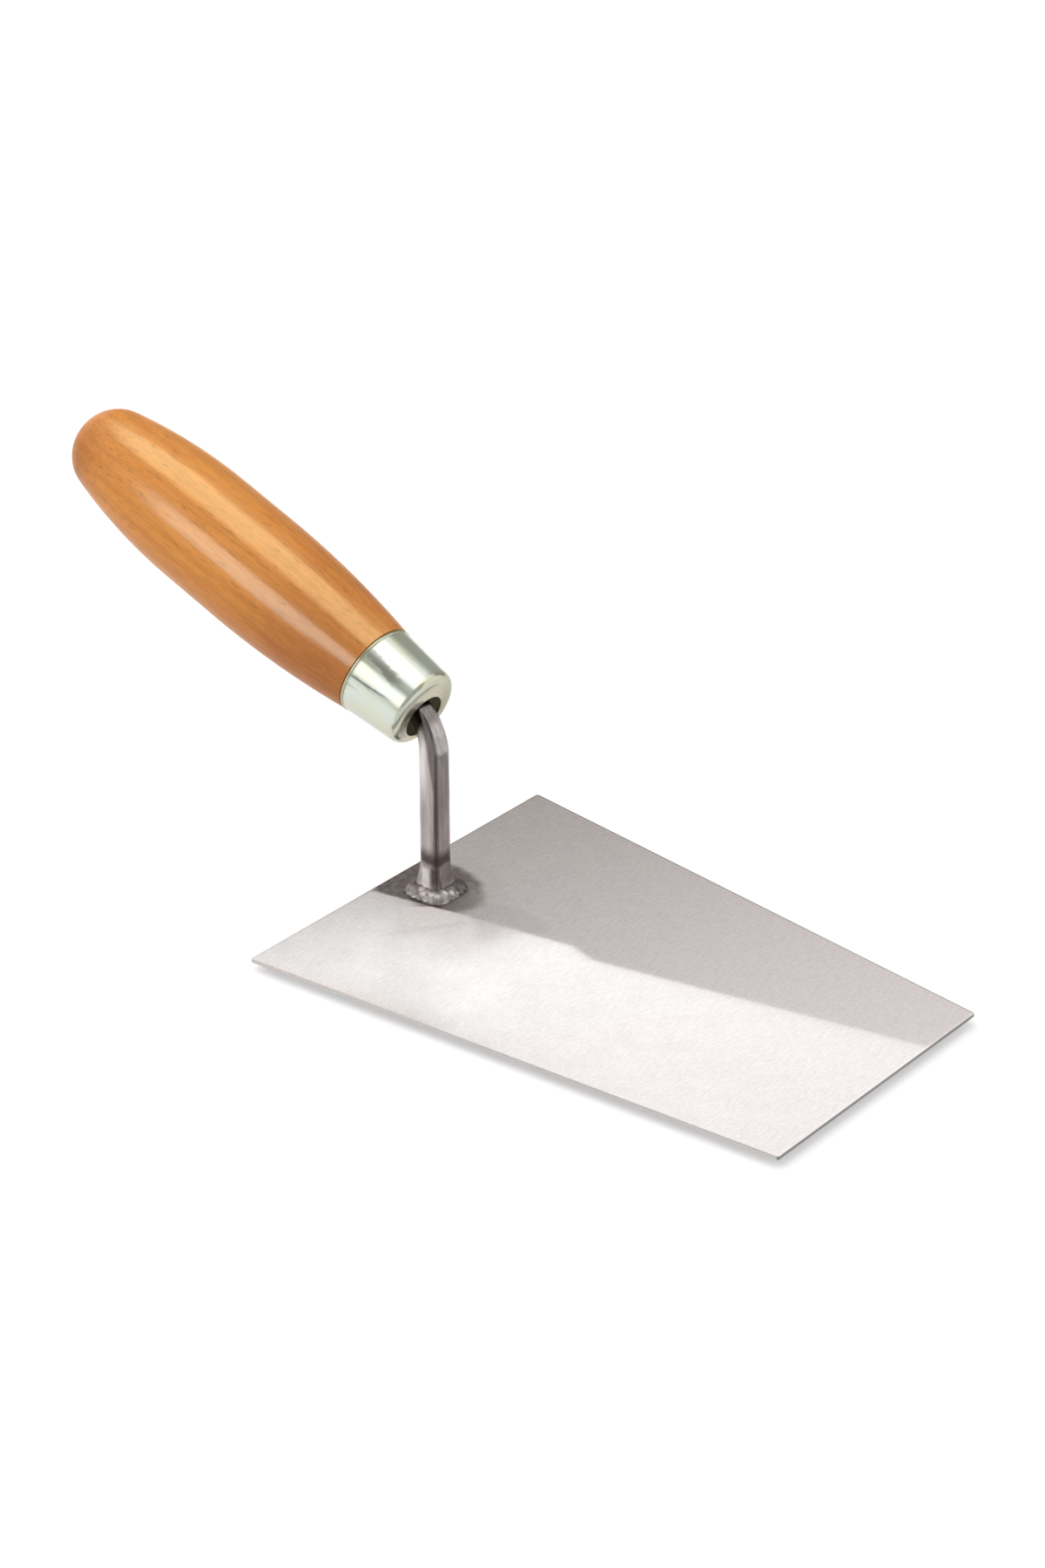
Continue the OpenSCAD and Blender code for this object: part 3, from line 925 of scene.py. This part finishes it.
def lacquered_beech():
    """Warm wood with rings, fibres, pores and flecks, then painted shade on the low side, the dark nib and
    the bare tenon.
    """
    material, tree, shader = start_material(
        "lacquered_beech", Roughness=0.5, Specular_IOR_Level=0.05,
        Coat_Weight=0.5, Coat_Roughness=0.2, Coat_IOR=1.5)
    grain = handle_coords(tree, 1, 1)
    rings = growth_rings(tree, grain)
    drift = noise(tree, handle_coords(tree, 60, 14), detail=3)
    fibres = noise(tree, handle_coords(tree, 900, 55), detail=5, roughness=0.65)
    pores = noise(tree, handle_coords(tree, 2400, 130), detail=3)
    flecks = noise(tree, handle_coords(tree, 1100, 170), detail=2)
    _, sideways, place = split(tree, grain)
    paler_middle = times(tree, fade(tree, place, 30, 95, 0, 0.65), fade(tree, place, 120, 150, 1, 0.4))
    pale = plus(tree, paler_middle, remap(tree, drift, 0.3, 0.7, 0, 0.4))
    # Painted shade on the low side near the ferrule and near the butt.
    low_side_shade = larger(tree, fade(tree, place, 28, 75, 0.42, 0), fade(tree, place, 130, 142, 0, 0.45))
    tone = blend_colours(tree, pale, (0.60, 0.180, 0.026), (0.90, 0.345, 0.06))
    finished = paint(tree, tone, [
        (remap(tree, rings, 0.1, 0.9, 0, 0.22), (0.44, 0.135, 0.02)),
        (remap(tree, fibres, 0.35, 0.68, 0, 0.5), (0.88, 0.36, 0.075)),
        (remap(tree, pores, 0.45, 0.75, 0, 0.45), (0.38, 0.115, 0.018)),
        (remap(tree, flecks, 0.6, 0.74, 0, 0.5), (0.30, 0.09, 0.015)),
        # Painted shade on the low side.
        (times(tree, low_side_shade, fade(tree, sideways, -15, -3, 1, 0)), (0.36, 0.108, 0.018)),
        (fade(tree, place, butt_at - 0.2, butt_at + 0.1, 0, 0.75), (0.06, 0.03, 0.015)),
        (fade(tree, place, ferrule_length - 3, ferrule_length - 1, 1, 0), (0.58, 0.44, 0.34)),
    ])
    tree.links.new(finished, shader.inputs["Base Color"])
    add_bump(tree, shader, fibres, depth=0.02)
    return material


fit_piece(handle, "handle", lacquered_beech())

# %% [markdown]
# ## Floor and light
# The picture has a pure white ground. The floor is plain and lit at a plain level; where the camera or a
# mirror looks at it, it glows a little as well, and more so far away, so that only real shadows stay below
# white. The world does the same: white for the camera and for reflections, softer as light. The floor lies a
# little below the blade, which turns the shadow along the edges into a soft band. One broad lamp overhead, a
# little to the handle's side, gives the shapes their shading.

# %% Floor
floor_half = 6000.0
floor_sink = 2.6
floor_grey = 0.88
floor_lift_near = 0.37
floor_lift_far = 0.85
floor_lift_reach = (400.0, 2400.0)
floor_lift_mirrored = 0.14


def ray_kinds(tree):
    """Two values: 1 for rays from the camera, and 1 for rays from a mirror or through glass."""
    path = add_node(tree, "ShaderNodeLightPath").outputs
    return path["Is Camera Ray"], larger(tree, path["Is Glossy Ray"], path["Is Transmission Ray"])


def flat_card(name, grid):
    """A sheet for the studio, from a grid of points in millimetres."""
    rows, columns = grid.shape[:2]
    index = np.arange(rows * columns).reshape(rows, columns)
    corners = [index[:-1, :-1], index[:-1, 1:], index[1:, 1:], index[1:, :-1]]
    faces = np.stack(corners, axis=2).reshape(-1, 4)
    mesh = bpy.data.meshes.new(name)
    mesh.from_pydata((grid.reshape(-1, 3) * MM).tolist(), [], faces.tolist())
    card = bpy.data.objects.new(name, mesh)
    bpy.context.scene.collection.objects.link(card)
    return card


def white_floor():
    """A matt grey that glows where the camera looks at it, by a lift that grows with the distance, and a
    little where a mirror does."""
    material, tree, shader = start_material(
        "white_floor", Base_Color=(floor_grey, floor_grey, floor_grey, 1), Roughness=1.0,
        Specular_IOR_Level=0.0, Emission_Color=(1, 1, 1, 1))
    to_camera_ray, to_mirror_ray = ray_kinds(tree)
    distance = length(tree, object_coords(tree))
    lift = fade(tree, distance, *floor_lift_reach, floor_lift_near, floor_lift_far)
    seen_lift = times(tree, to_camera_ray, lift)
    mirrored_lift = times(tree, to_mirror_ray, floor_lift_mirrored)
    tree.links.new(plus(tree, seen_lift, mirrored_lift), shader.inputs["Emission Strength"])
    return material


floor_span = np.array([-floor_half, floor_half])
floor_x, floor_y = np.meshgrid(floor_span, floor_span)
floor = flat_card("floor", np.stack([floor_x, floor_y, np.full_like(floor_x, -floor_sink)], axis=2))
floor.data.materials.append(white_floor())
print("floor", floor_sink, "mm below the blade")

# %% World and lamp
sky_light = 0.52
lamp_power = 21.5
lamp_size = 2.6
lamp_place = (-0.65, -0.2, 1.6)

world = bpy.data.worlds.new("white_studio")
world.use_nodes = True
sky = world.node_tree.nodes["Background"]
sky.inputs["Color"].default_value = (1, 1, 1, 1)
shown = larger(world.node_tree, *ray_kinds(world.node_tree))
world.node_tree.links.new(remap(world.node_tree, shown, 0, 1, sky_light, 1), sky.inputs["Strength"])
bpy.context.scene.world = world

lamp_data = bpy.data.lights.new("overhead_lamp", "AREA")
lamp_data.size = lamp_size
lamp_data.energy = lamp_power
lamp = bpy.data.objects.new("overhead_lamp", lamp_data)
lamp.location = lamp_place
lamp.rotation_mode = "QUATERNION"
lamp.rotation_quaternion = (-Vector(lamp_place)).to_track_quat("-Z", "Y")
lamp.visible_glossy = False
bpy.context.scene.collection.objects.link(lamp)
bpy.context.scene.view_settings.view_transform = "Standard"
print("world", world.name, "lamp", lamp.name, "of", lamp_power, "W")

# %% [markdown]
# ## Cards for the metal and the lacquer
# Metal and lacquer show what stands round them. A photographer places bright strips and dark flags for
# that, and so does this cell. Each card shows in reflections only. A strip is clear: its glow is added to
# what lies behind, and light linking keeps it to the pieces it is meant for. A flag is solid grey, and
# every piece shows it.

# %% Cards
def glow(name, colour, clear, one_sided):
    """A glow as strong as the card's own level. A clear one is added to what shows behind it, and a one-sided
    one is clear from its back."""
    material = bpy.data.materials.new(name)
    material.use_nodes = True
    tree = material.node_tree
    tree.nodes.remove(tree.nodes["Principled BSDF"])
    level = add_node(tree, "ShaderNodeAttribute", attribute_name="level").outputs["Fac"]
    shine = add_node(tree, "ShaderNodeEmission", {"Color": colour, "Strength": level}).outputs[0]
    if clear:
        through = add_node(tree, "ShaderNodeBsdfTransparent").outputs[0]
        shine = add_node(tree, "ShaderNodeAddShader", {0: shine, 1: through}).outputs[0]
    if one_sided:
        behind = add_node(tree, "ShaderNodeNewGeometry").outputs["Backfacing"]
        through = add_node(tree, "ShaderNodeBsdfTransparent").outputs[0]
        shine = add_node(tree, "ShaderNodeMixShader", {0: behind, 1: shine, 2: through}).outputs[0]
    tree.links.new(shine, tree.nodes["Material Output"].inputs["Surface"])
    return material


def mirror_card(name, grid, level, colour=(1, 1, 1, 1), shown_in=None, one_sided=False):
    """A card that only mirrors show, with a level for each point of its grid.
    A card that is meant for some pieces is clear and linked to those; any other card is solid."""
    card = flat_card(name, grid)
    store_value(card, "level", np.broadcast_to(level, grid.shape[:2]))
    card.data.materials.append(glow(name, colour, shown_in is not None, one_sided))
    card.visible_camera = False
    card.visible_diffuse = False
    card.visible_transmission = False
    card.visible_volume_scatter = False
    card.visible_shadow = False
    if shown_in is not None:
        lit = bpy.data.collections.new(name + "_shows_in")
        for piece in shown_in:
            lit.objects.link(piece)
        card.light_linking.receiver_collection = lit
    return card


# %% [markdown]
# A round bar reflects each card as a stripe along itself, and the stripe's place across the bar depends
# only on the card's angle about the bar's axis. So each strip or flag for the handle is a piece of a large
# cylinder about the handle's axis, given by two angles from the camera's side and two places along the
# axis.

# %% Strips and flags
view_along = to_camera @ axis_dir
facing = to_camera - view_along * axis_dir
facing = facing / np.linalg.norm(facing)
facing_side = np.cross(axis_dir, facing)

flag_lift = 0.2
strip_steps = 12
# Name, radius, first and last angle, first and last place along the axis, level at the first and last angle
warm_strips = [
    ("lacquer_overhead", 1000, 28, 71, -300, 1300, 8.2, 8.2),
    ("lacquer_collar", 1000, 71, 105, 0, 260, 2.6, 1.8),
]
cool_strips = [
    ("lacquer_front_butt", 1000, -38, -9, 620, 850, 7.0, 7.0),
    ("lacquer_front", 1000, -38, -9, 270, 620, 10.5, 10.5),
    ("lacquer_front_end", 1000, -31, -9, -200, 270, 10.5, 10.5),
]
metal_strips = [
    ("metal_overhead", 980, 25, 71, -300, 1300, 0.45, 0.45),
    ("metal_front", 980, -34, -4, -200, 1000, 0.4, 0.4),
]
flags = [
    ("upper_flag", 1020, -4, 25, -250, 1300, 0.46, 0.46),
    ("far_edge", 1020, 83, 98, 210, 1700, 0.8, 0.36),
    ("far_flag", 1020, 98, 150, -200, 1700, 0.34, 0.42),
    ("low_flag", 1020, -46, -38, -300, 900, 0.6, 0.6),
    ("camera_flag", 1020, -60, 60, -1600, -250, 0.42, 0.42),
]


def strip_grid(radius, first, last, start, end):
    """Points R (cos a facing + sin a side) + t axis, with the angle a across the strip and t along it."""
    angle = np.radians(np.linspace(first, last, strip_steps))
    place = np.linspace(start, end, 2)
    across = np.cos(angle)[:, None] * facing + np.sin(angle)[:, None] * facing_side
    return mouth + radius * across[:, None, :] + place[None, :, None] * axis_dir


def floor_grid(first, last):
    """Two rows of points that lie just above the floor."""
    flat = np.array([first, last], float)
    return np.concatenate([flat, np.full((2, 2, 1), flag_lift - floor_sink)], axis=2)


def hang_strips(strips, **settings):
    """Hangs a list of strips or flags, with their levels shaded from the first angle to the last."""
    for name, *span, first_level, last_level in strips:
        levels = np.linspace(first_level, last_level, strip_steps)[:, None]
        mirror_card(name, strip_grid(*span), levels, **settings)


hang_strips(warm_strips, colour=(0.84, 1.04, 0.67, 1), shown_in=[handle])
hang_strips(cool_strips, colour=(0.68, 1, 1.05, 1), shown_in=[handle])
hang_strips(metal_strips, shown_in=[ferrule, tang])
hang_strips(flags, colour=(1, 0.99, 0.9, 1))
mirror_card("near_floor_flag", floor_grid([[5, -75], [110, -58]], [[100, -1000], [1100, -700]]), 0.7)
mirror_card("far_floor_flag", floor_grid([[35, 64], [110, 57]], [[35, 85], [110, 85]]), 0.34)
print("strips:", len(warm_strips) + len(cool_strips) + len(metal_strips), "flags:", len(flags) + 2)

# %% [markdown]
# A flat blade mirrors one small patch of the room. Half of it shows a bright sheet, the other half the
# plainer wall behind, with the sheet's lower edge as a clear line between the two. To place a card for the
# blade, follow the camera's ray to a point of the blade, mirror it there and go some way along: that is
# where the card must hang. The sheet has three rows of points, each with its own levels, because the bright
# half isn't even. Both cards are clear and meant for the blade alone.

# %% Cards for the blade
sheet_distances = [9.0, 50.0]
sheet_shares = [0.0, 0.42, 1.0]
wall_distance = 800.0
sheet_colour = (0.9, 1.0, 1.02, 1)
# Points of the line on the blade, points past its near edge, and the sheet's levels at each share of the way
# from the one to the other
line_on_blade = [[-60, -23.8], [-10, -12.4], [28, -4.0], [40, -1.6], [52.5, 1.2], [62, -1.2], [210, 34.6]]
near_on_blade = [[-90, -90], [-30, -85], [12, -82], [28, -80], [42, -79], [58, -77], [260, -58]]
sheet_levels = [
    [0.3, 0.33, 0.2, 0.88, 0.97, 0.88, 0.3],
    [0.46, 0.52, 0.88, 0.86, 0.86, 0.77, 0.17],
    [0.74, 0.97, 0.9, 0.62, 0.56, 0.57, 0.0],
]
# Places along the blade and the wall's level at each of them
wall_places = [-250, -70, 20, 100, 250, 420]
wall_levels = [0.0, 0.06, 0.52, 0.94, 1.24, 1.5]
wall_colour = (1, 1.01, 1.07, 1)
wall_sides = [-140, 150]


def mirrored(points, distance):
    """Points reached by the camera's rays after they bounce off the blade's upper face."""
    flat = np.asarray(points, float)
    on_blade = np.concatenate([flat, np.full((*flat.shape[:-1], 1), thickness)], axis=-1)
    ray = (on_blade - eye) * np.array([1, 1, -1])
    return on_blade + distance * ray / np.linalg.norm(ray, axis=-1, keepdims=True)


share = np.array(sheet_shares)[:, None, None]
sheet_places = (1 - share) * np.array(line_on_blade) + share * np.array(near_on_blade)
sheet_grid = mirrored(sheet_places, (1 - share) * sheet_distances[0] + share * sheet_distances[1])
wall_grid = mirrored(np.stack(np.meshgrid(wall_places, wall_sides), axis=-1), wall_distance)
mirror_card("blade_sheet", sheet_grid, sheet_levels, sheet_colour, [blade])
mirror_card("blade_wall", wall_grid, wall_levels, wall_colour, [blade])
print("sheet edge", sheet_grid[0].round(0).tolist())

# %% [markdown]
# The foot and the weld would show upside down in the bright half. A small screen right in front of them
# hides that: it glows like the sheet on the side towards the blade's near half, and from behind it is
# clear, so the foot itself does not see it.

# %% Screen before the foot
screen_gap = 10.6
screen_sides = np.linspace(-10.5, 10.5, 12)
screen_levels = [[1.2], [1.28], [0.9], [0.98]]
screen_top = 80.0
screen_lift = 0.02
level_step = 0.4
line_start, line_slope = 11.1, 0.51
sheet_start, sheet_slope = 23.3, -0.33

level_view = to_camera[:2] / np.linalg.norm(to_camera[:2])
level_side = np.array([-level_view[1], level_view[0]])


def screen_points():
    """Points at (side s, distance d) on the blade, d running from the line to where the sheet hangs before
    the screen, and on to the top. Each is carried along the mirrored ray to the plane screen_gap before the
    axis, where it stands (d - screen_gap) tan(elevation) high."""
    first = np.maximum(line_start + line_slope * screen_sides, screen_gap)
    behind = sheet_start + sheet_slope * screen_sides
    top = np.full_like(first, screen_top)
    distance = np.stack([first, behind - level_step, behind + level_step, top])
    flat = screen_gap * level_view + screen_sides[None, :, None] * level_side
    rise = thickness + screen_lift + (distance - screen_gap) * np.tan(camera_elevation)
    return np.concatenate([np.broadcast_to(flat, (*rise.shape, 2)), rise[:, :, None]], axis=2)


mirror_card("foot_screen", screen_points(), screen_levels, one_sided=True)
print("screen", round(screen_gap, 1), "mm before the shank's axis")
